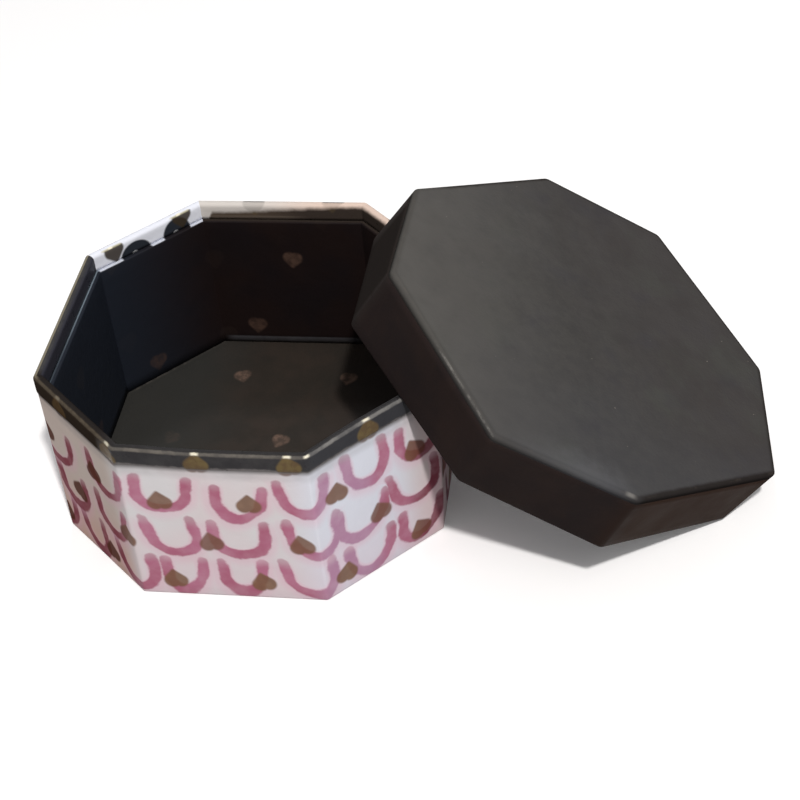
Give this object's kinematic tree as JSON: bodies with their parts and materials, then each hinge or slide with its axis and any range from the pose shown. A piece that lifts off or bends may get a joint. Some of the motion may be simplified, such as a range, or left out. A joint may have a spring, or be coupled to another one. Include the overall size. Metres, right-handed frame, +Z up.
{
  "type": "papier mache box",
  "caption": "Octagonal papier mache trinket box, painted outside and lined in dark lacquer, with a slip-over lid lifted off and leaning on its rim.",
  "frame": {"origin": "centre of the box's underside, on the surface that it stands on", "axes": "+Z up, +X from the box towards the leaning lid, -Y towards the wall that faces the viewer"},
  "size_m": [0.1836, 0.1118, 0.0769],
  "materials": {
    "painted_wall": "satin paint under varnish",
    "base_card": "plain card",
    "dark_lining": "satin lacquer",
    "dark_floor": "satin lacquer",
    "rim_lacquer": "glossy lacquer",
    "lid_lacquer": "matt lacquer"
  },
  "bodies": {
    "box": {"box_wall": "painted_wall", "box_base": "base_card", "wall_lining": "dark_lining", "floor_lining": "dark_floor", "rim_paper": "rim_lacquer"},
    "lid": {"lid_wall": "lid_lacquer", "lid_top": "lid_lacquer", "lid_lining": "dark_lining"}
  },
  "joints": [
    {"name": "lid_lift", "type": "slide", "parent": "box", "child": "lid", "axis": [0, 0, 1], "range_m": [0, 0.1]}
  ]
}
